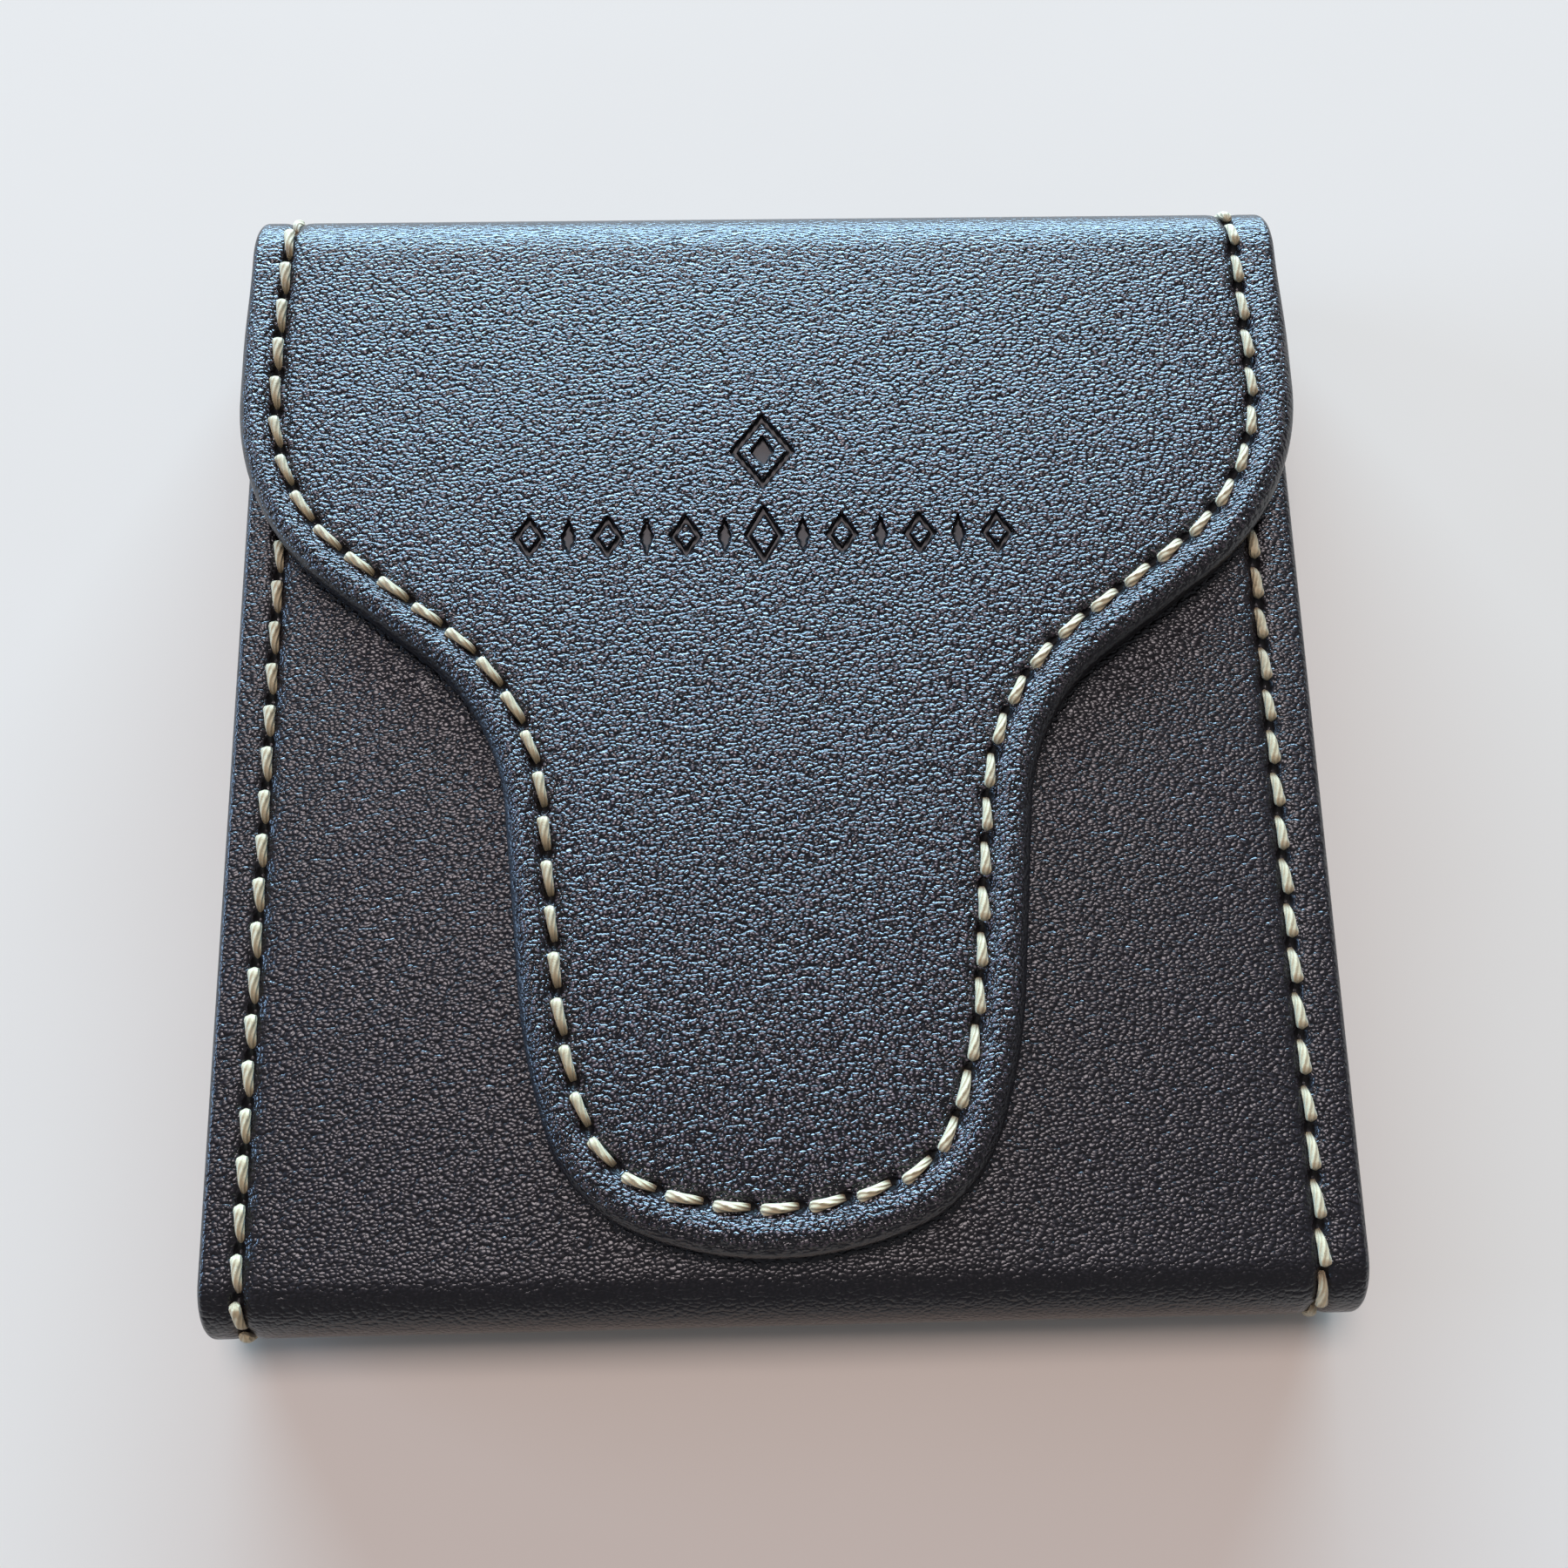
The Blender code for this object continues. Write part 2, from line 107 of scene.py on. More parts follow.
# Flap seam, as a chain of tangent pieces from the top fold to the middle of the tongue
SHOULDER_Y = 31.2 * MM
SHOULDER = (19.8 * MM, math.radians(52.5))     # radius, turn
DIAGONAL = 11.7 * MM
WAIST_RADIUS = 23.4 * MM
TONGUE_TAPER = math.radians(5.1)
TONGUE_SIDE = 15.7 * MM
FLANK = (44.0 * MM, math.radians(15.0))
CORNER = (9.1 * MM, math.radians(48.7))
TONGUE_SHIFT = -0.8 * MM

# Pressed ornament on the flap
ORNAMENT_X = -0.5 * MM
BAND_Y = 16.8 * MM
CREST_Y = 25.0 * MM
BAND_STEP = 3.55 * MM
BAND_REACH = 6                                 # lozenges each side of the middle one
STROKE = 0.5 * MM
CREST_STROKE = 0.55 * MM
PRESS_DEPTH = 0.42 * MM

MERGE_DISTANCE = 0.002 * MM
SHARP_ANGLE = 40                               # degrees


# ---------------------------------------------------------------- small helpers
def smooth(share):
    """0 to 1 with soft ends."""
    share = np.clip(share, 0.0, 1.0)
    return share * share * (3 - 2 * share)


def hill(distance, spread):
    """1 at no distance, falling away to 0."""
    return np.exp(-(distance / spread) ** 2)


def make_mesh(name, points, faces, material, values=None, sharp=SHARP_ANGLE):
    """A shaded mesh object from points and faces, with float attributes on its points."""
    mesh = bpy.data.meshes.new(name)
    mesh.from_pydata([tuple(p) for p in points], [], faces)
    for key, numbers in (values or {}).items():
        mesh.attributes.new(key, 'FLOAT', 'POINT').data.foreach_set("value", np.asarray(numbers, np.float32))
    mesh.shade_smooth()
    mesh.set_sharp_from_angle(angle=math.radians(sharp))
    mesh.materials.append(material)
    piece = bpy.data.objects.new(name, mesh)
    bpy.context.scene.collection.objects.link(piece)
    return piece


def ring_faces(rows, columns, closed=True):
    """Quads between rows of points that are stored one after another."""
    faces = []
    last = columns if closed else columns - 1
    for r in range(rows - 1):
        here, there = r * columns, (r + 1) * columns
        for c in range(last):
            after = (c + 1) % columns
            faces.append((here + c, here + after, there + after, there + c))
    return faces


def end_caps(rows, columns):
    """The two faces that close a tube of rows."""
    last = (rows - 1) * columns
    return [tuple(range(columns)), tuple(reversed(range(last, last + columns)))]


def point_outwards(piece):
    """Merge what meets, and turn every face to the outside."""
    bm = bmesh.new()
    bm.from_mesh(piece.data)
    bmesh.ops.remove_doubles(bm, verts=bm.verts, dist=MERGE_DISTANCE)
    bmesh.ops.dissolve_degenerate(bm, edges=bm.edges, dist=MERGE_DISTANCE)
    bmesh.ops.recalc_face_normals(bm, faces=bm.faces)
    bm.to_mesh(piece.data)
    bm.free()
    piece.data.shade_smooth()
    piece.data.set_sharp_from_angle(angle=math.radians(SHARP_ANGLE))
    return piece


class Nodes:
    """Short ways to add nodes to a tree, with each input given a value or a socket to read."""

    def __init__(self, tree):
        self.tree = tree

    def add(self, kind, inputs=None, **settings):
        made = self.tree.nodes.new(kind)
        for key, value in settings.items():
            setattr(made, key, value)
        for key, value in (inputs or {}).items():
            if isinstance(value, bpy.types.NodeSocket):
                self.tree.links.new(value, made.inputs[key])
            else:
                made.inputs[key].default_value = value
        return made

    def math(self, operation, a, b=0.0, c=0.0, clamp=False):
        return self.add('ShaderNodeMath', {0: a, 1: b, 2: c}, operation=operation, use_clamp=clamp).outputs[0]

    def mix(self, share, a, b, blend='MIX'):
        made = self.add('ShaderNodeMix', data_type='RGBA', blend_type=blend)
        for key, value in ((0, share), (6, a), (7, b)):
            if isinstance(value, bpy.types.NodeSocket):
                self.tree.links.new(value, made.inputs[key])
            else:
                made.inputs[key].default_value = (*value, 1.0) if isinstance(value, tuple) else value
        return made.outputs[2]

    def ramp(self, value, low, high, to_low=0.0, to_high=1.0):
        return self.add('ShaderNodeMapRange', {0: value, 1: low, 2: high, 3: to_low, 4: to_high},
                        interpolation_type='SMOOTHSTEP').outputs[0]

    def place(self):
        return self.add('ShaderNodeTexCoord').outputs["Object"]

    def noise(self, place, scale, detail=2.0, output="Fac"):
        sockets = {"Vector": place, "Scale": scale, "Detail": detail}
        return self.add('ShaderNodeTexNoise', sockets).outputs[output]

    def stretched(self, place, scale, turn=0.0):
        sockets = {"Vector": place, "Rotation": (0.0, 0.0, turn), "Scale": scale}
        return self.add('ShaderNodeMapping', sockets).outputs[0]


# ---------------------------------------------------------------- leather shapes
def edge_profile(roll):
    """(inset, depth) from the leather's hidden side, round the turned edge, to the flat face."""
    wall = [(TURN_IN, LEATHER_UNDER), (TURN_IN, PANEL), (0.60 * MM, PANEL),
            (0.30 * MM, PANEL - 0.05 * MM), (0.07 * MM, PANEL - 0.24 * MM), (0.0, PANEL - 0.48 * MM),
            (0.06 * MM, PANEL - 0.70 * MM), (0.24 * MM, PANEL - 0.86 * MM),
            (0.10 * MM, PANEL - 1.02 * MM), (0.0, PANEL - 1.25 * MM)]
    turns = [EDGE_RADIUS * (1 - math.cos(math.radians(a))) for a in (0, 20, 38, 54, 68, 80, 90)]
    flats = [1.4, 1.7, 2.0, 2.3, 2.6, 2.9, 3.2, 3.4, 3.55, 3.7,
             3.85, 4.0, 4.15, 4.3, 4.45, 4.6, 4.8, 5.1, 5.5, 6.0]
    insets = np.array(turns + [f * MM for f in flats])
    return wall, insets, face_depth(insets, roll)


def face_depth(inset, roll):
    """Depth of the leather face below its nominal plane, at a distance from the edge."""
    near = np.clip(EDGE_RADIUS - inset, 0.0, EDGE_RADIUS)
    edge = EDGE_RADIUS - np.sqrt(EDGE_RADIUS ** 2 - near ** 2)
    groove = GROOVE_DEPTH * hill(inset - SEAM_INSET, GROOVE_SPREAD)
    crest = -ROLL_HEIGHT * roll * hill(inset - ROLL_INSET, ROLL_SPREAD)
    field = FIELD_DROP * roll * smooth((inset - SEAM_INSET) / (0.8 * MM))
    return edge + groove + crest + field


def trimmed(inset, share=1.0):
    """Inset on the left side, where the margin outside the seam is narrower."""
    trim = LEFT_TRIM * share
    return trim + inset * (1 - trim / SEAM_INSET) if inset < SEAM_INSET else inset


def edge_calm(insets, face, roll):
    """Calm values across the leather: smooth on the turned edge; less calm on a rolled rim, so its grain is
    stronger and carries more painted glint, partly real relief and partly a painted highlight along the rim.
    """
    turn = 0.9 * (1 - smooth((insets - 0.3 * EDGE_RADIUS) / EDGE_RADIUS))
    # Painted highlight on the rolled rim: lower calm there lets more painted glint through, with stronger
    # grain.
    rim_glint = 0.30 * roll * hill(insets - ROLL_INSET - 0.3 * MM, 1.2 * MM)
    return list(np.maximum(turn, face - rim_glint))


def hole_shade_mask(from_hole, inset):
    """1 in a stitch hole, 0 away from it: the hole's grain is flattened and its colour darkened as painted
    shade.
    """
    return smooth((hill(from_hole, 0.70 * MM) * hill(inset - SEAM_INSET, 0.48 * MM) - 0.15) / 0.40)


def hole_depth(from_hole, inset):
    """Extra depth where the needle went in and the thread pulls the leather down."""
    return (HOLE_DEPTH * hill(from_hole, 0.48 * MM) * hill(inset - SEAM_INSET, 0.36 * MM)
            + 0.16 * MM * hill(from_hole, 1.1 * MM) * hill(inset - SEAM_INSET, 1.0 * MM))


def strip_place(length):
    """Leather face of the strip, by distance from the mouth: (y, z, inward y, inward z)."""
    front = MOUTH_Y - BOTTOM_Y
    bottom = math.pi * BOTTOM_RADIUS
    back = TOP_Y - BOTTOM_Y
    if length <= front:
        return MOUTH_Y - length, CASE_TOP, 0.0, -1.0
    if length <= front + bottom:
        angle = math.pi / 2 + (length - front) / BOTTOM_RADIUS
        across, up = math.cos(angle), math.sin(angle)
        return BOTTOM_Y + BOTTOM_RADIUS * across, BOTTOM_RADIUS * (1 + up), -across, -up
    if length <= front + bottom + back:
        return BOTTOM_Y + length - front - bottom, 0.0, 0.0, 1.0
    angle = -math.pi / 2 + (length - front - bottom - back) / TOP_RADIUS
    across, up = math.cos(angle), math.sin(angle)
    return TOP_Y + TOP_RADIUS * across, TOP_RADIUS * (1 + up), -across, -up


CASE_LENGTH = (MOUTH_Y - BOTTOM_Y) + math.pi * BOTTOM_RADIUS + (TOP_Y - BOTTOM_Y)
FOLD_LENGTH = math.pi * TOP_RADIUS
FOLD_APEX_LENGTH = CASE_LENGTH + FOLD_LENGTH / 2
STRIP_LENGTH = CASE_LENGTH + FOLD_LENGTH
CASE_STITCHES = round((CASE_LENGTH - SEAM_START) / PITCH)
CASE_PITCH = (CASE_LENGTH - SEAM_START) / CASE_STITCHES
FOLD_STITCHES = round(FOLD_LENGTH / PITCH)
FOLD_PITCH = FOLD_LENGTH / FOLD_STITCHES
BACK_FOLD_STITCHES = FOLD_STITCHES // 2 + 1    # the stitch on the fold's crest goes with its back half
FOLD_SPLIT = CASE_LENGTH + FOLD_PITCH * BACK_FOLD_STITCHES


def from_nearest_hole(length):
    """Distance along the strip's seam to the nearest stitch hole."""
    if length <= CASE_LENGTH:
        turns = (length - SEAM_START) / CASE_PITCH
        pitch = CASE_PITCH
    else:
        turns = (length - CASE_LENGTH) / FOLD_PITCH
        pitch = FOLD_PITCH
    return abs(turns - max(round(turns), 0)) * pitch


def strip_calm(length):
    """How much the grain is stretched flat: some on the front, most over the bottom fold."""
    front = MOUTH_Y - BOTTOM_Y
    fold = math.pi * BOTTOM_RADIUS
    # On the front, calm also dims the grain's painted glint, so the front panel reads darker.
    on_front = 0.48 * float(smooth((front + fold - length) / fold))
    on_bottom = 0.40 * float(hill(length - front - fold / 2, fold * 0.45))
    on_top = 0.85 * float(hill(length - CASE_LENGTH - FOLD_LENGTH * 0.60, FOLD_LENGTH * 0.42))
    return on_front + on_bottom + on_top


def flap_calm(y):
    """The same on the flap: the grain is stretched where the flap comes off the top fold."""
    return 0.85 * float(hill(TOP_Y - y + FOLD_LENGTH * 0.40, FOLD_LENGTH * 0.42))


def strip_row(length, shut=False, drop=0.0):
    """One closed loop of points round the strip's section, with their calm and pressed values; the pressed
    values mark the stitch holes, darkened as painted shade.

    A shut row is solid through the panel, for the turned mouth; drop rounds it off."""
    wall, insets, depths = edge_profile(0.0)
    from_hole = from_nearest_hole(length)
    depths = depths + hole_depth(from_hole, insets)
    middle = np.linspace(insets[-1], HALF_WIDTH, 7)[1:]
    insets = np.concatenate([insets, middle])
    depths = np.concatenate([depths, np.zeros(len(middle))])
    inset_list = [w[0] for w in wall] + list(insets)
    depth_list = [w[1] for w in wall] + list(depths)
    if shut:
        depth_list[0] = PANEL
    depth_list = [min(max(d, drop), PANEL - drop) for d in depth_list]
    y, z, inward_y, inward_z = strip_place(length)
    calm = [0.9] * len(wall) + edge_calm(insets, strip_calm(length), 0.0)
    press_and_hole_shade = [0.0] * len(wall) + list(hole_shade_mask(from_hole, insets))
    right = [(HALF_WIDTH - i, y + d * inward_y, z + d * inward_z) for i, d in zip(inset_list, depth_list)]
    left = [(trimmed(HALF_WIDTH - x) - HALF_WIDTH, py, pz) for x, py, pz in right[:-1]]
    return right + left[::-1], calm + calm[-2::-1], press_and_hole_shade + press_and_hole_shade[-2::-1]


def strip_leather(name, lengths, material, mouth=False):
    """The leather strip between two distances from the mouth."""
    rows = []
    if mouth:
        radius = PANEL / 2
        for degrees in (90, 75, 60, 45, 30, 15, 0):
            angle = math.radians(degrees)
            rows.append(strip_row(radius * (1 - math.sin(angle)), True, radius * (1 - math.cos(angle))))
    rows += [strip_row(length) for length in lengths]
    columns = len(rows[0][0])
    faces = ring_faces(len(rows), columns) + end_caps(len(rows), columns)
    points = [point for row in rows for point in row[0]]
    values = {"calm": [value for row in rows for value in row[1]],
              "pressed": [value for row in rows for value in row[2]]}
    return point_outwards(make_mesh(name, points, faces, material, values))


def stitch_steps(start, end, pitch):
    """Distances between two holes, with an even number of steps to each stitch."""
    count = round((end - start) / pitch * STEPS_PER_STITCH)
    return list(np.linspace(start, end, count + 1))


# ---------------------------------------------------------------- the flap
def flap_pieces():
    """Right half of the flap seam: (length, curvature) of each piece; bends are towards the middle."""
    taper = SHOULDER[1] - TONGUE_TAPER
    pieces = [(TOP_Y - SHOULDER_Y, 0.0), (SHOULDER[0] * SHOULDER[1], 1 / SHOULDER[0]), (DIAGONAL, 0.0),
              (WAIST_RADIUS * taper, -1 / WAIST_RADIUS), (TONGUE_SIDE, 0.0),
              (FLANK[0] * FLANK[1], 1 / FLANK[0]), (CORNER[0] * CORNER[1], 1 / CORNER[0])]
    x, _, heading = walk(pieces, sum(piece[0] for piece in pieces))
    last_radius = x / math.cos(heading)
    return pieces + [(last_radius * (math.pi / 2 - heading), 1 / last_radius)]


def walk(pieces, length):
    """Place and heading at a distance along the chain; heading 0 is straight down."""
    x, y, heading = FLAP_HALF_WIDTH - SEAM_INSET, TOP_Y, 0.0
    for run, bend in pieces:
        run = min(run, length)
        length -= run
        if bend:
            turned = heading + bend * run
            x += (math.cos(turned) - math.cos(heading)) / bend
            y -= (math.sin(turned) - math.sin(heading)) / bend
            heading = turned
        else:
            x -= run * math.sin(heading)
            y -= run * math.cos(heading)
        if length <= 0:
            break
    return x, y, heading


FLAP_CHAIN = flap_pieces()
HALF_SEAM = sum(piece[0] for piece in FLAP_CHAIN)
FLAP_STITCHES = round(2 * HALF_SEAM / PITCH)
FLAP_PITCH = 2 * HALF_SEAM / FLAP_STITCHES


def flap_point(length, outward):
    """A point beside the flap seam, going from the right end over the tongue to the left end."""
    side = 1.0 if length <= HALF_SEAM else -1.0
    x, y, heading = walk(FLAP_CHAIN, min(length, 2 * HALF_SEAM - length))
    x += outward * math.cos(heading)
    y -= outward * math.sin(heading)
    narrow = (FLAP_HALF_WIDTH - HALF_WIDTH) * float(smooth((y - (TOP_Y - 10 * MM)) / (10 * MM)))
    x *= 1 - narrow / FLAP_HALF_WIDTH
    share = float(smooth((SHOULDER_Y - y) / (SHOULDER[0] + DIAGONAL)))
    return side * x + TONGUE_SHIFT * share, y


def left_share(length):
    """1 along the left side of the flap, easing to 0 round the end of the tongue."""
    return float(smooth((length - HALF_SEAM) / (25 * MM)))


def roll_share(y):
    """How far the flap's rim is rolled up: flat at the fold, full from the shoulders down."""
    return float(smooth((TOP_Y - y) / (14 * MM)))


def inside(points, outline):
    """Which points lie inside a closed outline."""
    result = np.zeros(len(points), bool)
    x, y = points[:, 0], points[:, 1]
    for (ax, ay), (bx, by) in zip(outline, np.roll(outline, -1, axis=0)):
        crosses = (ay > y) != (by > y)
        if crosses.any():
            at = ax + (y[crosses] - ay) * (bx - ax) / (by - ay)
            result[crosses] ^= x[crosses] < at
    return result


def hex_grid(low, high, step):
    """Points in a staggered grid over a rectangle."""
    rows = []
    for k, y in enumerate(np.arange(low[1], high[1], step * math.sqrt(3) / 2)):
        xs = np.arange(low[0] + step / 2 * (k % 2), high[0], step)
        rows.append(np.column_stack([xs, np.full(len(xs), y)]))
    return np.concatenate(rows)


def lozenge(x, y, centre, half_width, half_height):
    """Signed distance to a lozenge, negative inside."""
    reach = np.abs(x - centre[0]) / half_width + np.abs(y - centre[1]) / half_height - 1
    return reach * half_width * half_height / math.hypot(half_width, half_height)


def open_lozenge(x, y, centre, half_width, half_height, stroke):
    """Signed distance to a lozenge drawn as an outline."""
    outer = lozenge(x, y, centre, half_width, half_height)
    return np.maximum(outer, -outer - stroke)


def pressed(x, y):
    """0 on the grain, 1 on the floor of the pressed ornament: a crest over a row of lozenges."""
    crest = (ORNAMENT_X, CREST_Y)
    shape = open_lozenge(x, y, crest, 3.0 * MM, 3.7 * MM, CREST_STROKE)
    shape = np.minimum(shape, lozenge(x, y, crest, 1.1 * MM, 1.5 * MM))
    for k in range(-BAND_REACH, BAND_REACH + 1):
        centre = (ORNAMENT_X + BAND_STEP * k, BAND_Y)
        half_height = (2.9 if k == 0 else 2.05) * MM
        half_width = (1.75 if k == 0 else 1.5) * MM
        if k % 2:
            mark = lozenge(x, y, centre, 0.6 * MM, 1.7 * MM)
        else:
            mark = open_lozenge(x, y, centre, half_width, half_height, STROKE)
        shape = np.minimum(shape, mark)
    return smooth(0.5 - shape / (0.24 * MM))


def flap_band():
    """Rolled rim and groove, swept along the seam: points row by row, their calm and pressed values; the
    pressed values mark the stitch holes, darkened as painted shade.
    """
    points, calm, press_and_hole_shade = [], [], []
    lengths = stitch_steps(0.0, 2 * HALF_SEAM, FLAP_PITCH)
    for length in lengths:
        turns = length / FLAP_PITCH
        from_hole = abs(turns - round(turns)) * FLAP_PITCH
        y_here = flap_point(length, 0.0)[1]
        roll = roll_share(y_here)
        wall, insets, depths = edge_profile(roll)
        depths = depths + hole_depth(from_hole, insets)
        left = left_share(length)
        for inset, depth in wall + list(zip(insets, depths)):
            x, y = flap_point(length, SEAM_INSET - trimmed(inset, left))
            points.append((x, y, FLAP_TOP - depth))
        calm += [0.9] * len(wall) + edge_calm(insets, flap_calm(y_here), roll)
        press_and_hole_shade += [0.0] * len(wall) + list(hole_shade_mask(from_hole, insets))
    return points, calm, press_and_hole_shade, len(lengths)


def flap_field(border):
    """Free points inside the border, fine over the ornament, and how far each is from the border."""
    coarse = hex_grid(border.min(0), border.max(0), 1.0 * MM)
    band_low = np.array([ORNAMENT_X - 24 * MM, BAND_Y - 3.8 * MM])
    band_high = np.array([ORNAMENT_X + 24 * MM, BAND_Y + 3.8 * MM])
    crest_low = np.array([ORNAMENT_X - 3.6 * MM, band_high[1]])
    crest_high = np.array([ORNAMENT_X + 3.6 * MM, CREST_Y + 4.4 * MM])
    parts = []
    for low, high in ((band_low, band_high), (crest_low, crest_high)):
        parts.append(hex_grid(low, high, 0.17 * MM))
        near = ((coarse > low - 0.4 * MM) & (coarse < high + 0.4 * MM)).all(1)
        coarse = coarse[~near]
    field = np.concatenate([coarse] + parts)
    field = field[inside(field, border)]
    tree = kdtree.KDTree(len(border))
    for k, (x, y) in enumerate(border):
        tree.insert((x, y, 0.0), k)
    tree.balance()
    away = np.array([tree.find((x, y, 0.0))[2] for x, y in field])
    keep = away > 0.35 * MM
    return field[keep], away[keep]


def field_depth(places, away, pressing):
    """How deep the flap's field lies: slightly pillowed and wavy, with the ornament pressed in."""
    x, y = places[:, 0], places[:, 1]
    drop = FIELD_DROP * np.array([roll_share(v) for v in y])
    pillow = -PILLOW * (1 - np.exp(-away / (6 * MM)))
    waves = WAVES * np.sin(x / (9 * MM) + 1.3) * np.cos(y / (13 * MM)) * smooth(away / (6 * MM))
    return drop + pillow + waves + PRESS_DEPTH * pressing


def flap_leather(material):
    """The band round the rim, the field inside it, and the flat faces that close the hidden side."""
    points, calm, press_and_hole_shade, rows = flap_band()
    columns = len(points) // rows
    faces = ring_faces(rows, columns, closed=False)
    hidden = [r * columns for r in range(rows)]
    rim = [first + columns - 1 for first in hidden]

    outline = np.array([points[k][:2] for k in rim])
    across = np.linspace(outline[-1][0], outline[0][0], 140)[1:-1]
    top_line = np.column_stack([across, np.full(len(across), TOP_Y)])
    border = np.concatenate([outline, top_line])
    field, away = flap_field(border)
    spots = [Vector(p) for p in np.concatenate([border, field])]
    ring = [(k, (k + 1) % len(border)) for k in range(len(border))]
    flat, _, patches, origins, _, _ = geometry.delaunay_2d_cdt(spots, ring, [], 1, 1e-7)
    if len(flat) != len(spots):
        raise SystemExit("the flap's field lost or gained points")

    first_free = len(points)
    index = rim + list(range(first_free, first_free + len(top_line) + len(field)))
    free = np.concatenate([top_line, field])
    away = np.concatenate([np.zeros(len(top_line)), away])
    pressing = pressed(free[:, 0], free[:, 1])
    depth = field_depth(free, away, pressing)
    points += [(x, y, FLAP_TOP - d) for (x, y), d in zip(free, depth)]
    faces += [tuple(index[origins[v][0]] for v in patch) for patch in patches]
    faces.append(tuple(hidden))
    top_edge = index[len(outline):len(border)]
    right_end = list(range(columns))
    left_end = [hidden[-1] + c for c in right_end]
    faces.append(tuple(right_end + top_edge[::-1] + left_end[::-1]))
    # pressed holds the ornament floors and the stitch holes, whose darkening is painted shade.
    values = {"pressed": np.concatenate([press_and_hole_shade, pressing]),
              "calm": np.concatenate([calm, [flap_calm(y) for y in free[:, 1]]])}
    return point_outwards(make_mesh("flap_leather", points, faces, material, values))


# ---------------------------------------------------------------- stitches
def stitch_shape(material):
    """One stitch of twisted thread: blunt where it comes up, tapering where it goes down."""
    sides, rings = 10, 11
    points, marks = [], []
    for r in range(rings + 1):
        along = smooth(r / rings) * 0.35 + 0.65 * r / rings
        rise = math.sqrt(1 - (1 - min(along / 0.14, 1.0)) ** 2)
        width = 1.0 - 0.40 * float(smooth((along - 0.25) / 0.75))
        radius = STITCH_RADIUS * max(rise * width, 0.10)
        sink = (0.30 * MM * max(1 - along / 0.16, 0.0) ** 2
                + 0.75 * MM * max((along - 0.66) / 0.34, 0.0) ** 2)
        for s in range(sides):
            angle = 2 * math.pi * s / sides
            ply = 1 + 0.09 * math.cos(2 * angle - 7.0 * along)
            points.append(((along - 0.5) * STITCH_LENGTH, radius * ply * math.cos(angle),
                           0.92 * radius * ply * math.sin(angle) - sink))
            marks.append((along, s / sides))
    faces = ring_faces(rings + 1, sides)
    faces.append(tuple(reversed(range(sides))))
    faces.append(tuple(range(rings * sides, (rings + 1) * sides)))
    stitch = make_mesh("stitch_shape", points, faces, material, sharp=60)
    uv = stitch.data.uv_layers.new(name="ply")
    for loop in stitch.data.loops:
        uv.data[loop.index].uv = marks[loop.vertex_index]
    return point_outwards(stitch)


def seam_tree(material):
    """Geometry Nodes: stitches set at an even pitch along a seam line, then made one mesh.

    The line is cut into two steps for each stitch, so every odd point is the middle of one."""
    tree = bpy.data.node_groups.new("sewn_seam", 'GeometryNodeTree')
    for name, kind in (("Seam", 'NodeSocketGeometry'), ("Stitch", 'NodeSocketObject'),
                       ("Stitch Count", 'NodeSocketInt'), ("Slant", 'NodeSocketFloat'),
                       ("Unevenness", 'NodeSocketFloat'), ("Seed", 'NodeSocketInt')):
        tree.interface.new_socket(name, in_out='INPUT', socket_type=kind)
    tree.interface.new_socket("Stitches", in_out='OUTPUT', socket_type='NodeSocketGeometry')
    nodes = Nodes(tree)
    given = nodes.add('NodeGroupInput').outputs

    line = nodes.add('GeometryNodeMeshToCurve', {0: given["Seam"]}).outputs[0]
    steps = nodes.math('MULTIPLY_ADD', given["Stitch Count"], 2.0, 1.0)
    marked = nodes.add('GeometryNodeResampleCurve', {"Curve": line, "Count": steps},
                       mode='COUNT').outputs[0]
    odd = nodes.math('MODULO', nodes.add('GeometryNodeInputIndex').outputs[0], 2.0)

    outward = nodes.add('GeometryNodeInputNamedAttribute', {"Name": "out"},
                        data_type='FLOAT_VECTOR').outputs[0]
    along = nodes.add('GeometryNodeInputTangent').outputs[0]
    upright = nodes.add('FunctionNodeAxesToRotation', {0: outward, 1: along},
                        primary_axis='Z', secondary_axis='X').outputs[0]
    least = nodes.math('MULTIPLY', given["Unevenness"], -1.0)
    wobble = nodes.add('FunctionNodeRandomValue', {2: least, 3: given["Unevenness"],
                                                   "Seed": given["Seed"]}, data_type='FLOAT').outputs[1]
    spin = nodes.add('ShaderNodeCombineXYZ', {2: nodes.math('ADD', given["Slant"], wobble)}).outputs[0]
    slanting = nodes.add('FunctionNodeEulerToRotation', {0: spin}).outputs[0]
    turn = nodes.add('FunctionNodeRotateRotation', {0: upright, 1: slanting},
                     rotation_space='LOCAL').outputs[0]
    size = nodes.add('FunctionNodeRandomValue', {0: (0.95, 0.92, 0.92), 1: (1.03, 1.06, 1.06),
                                                 "Seed": given["Seed"]}, data_type='FLOAT_VECTOR').outputs[0]

    shape = nodes.add('GeometryNodeObjectInfo', {0: given["Stitch"]}).outputs["Geometry"]
    placed = nodes.add('GeometryNodeInstanceOnPoints',
                       {"Points": marked, "Selection": odd, "Instance": shape, "Rotation": turn,
                        "Scale": size}).outputs[0]
    real = nodes.add('GeometryNodeRealizeInstances', {0: placed}).outputs[0]
    finished = nodes.add('GeometryNodeSetMaterial', {"Geometry": real, "Material": material}).outputs[0]
    nodes.add('NodeGroupOutput', {"Stitches": finished})
    return tree


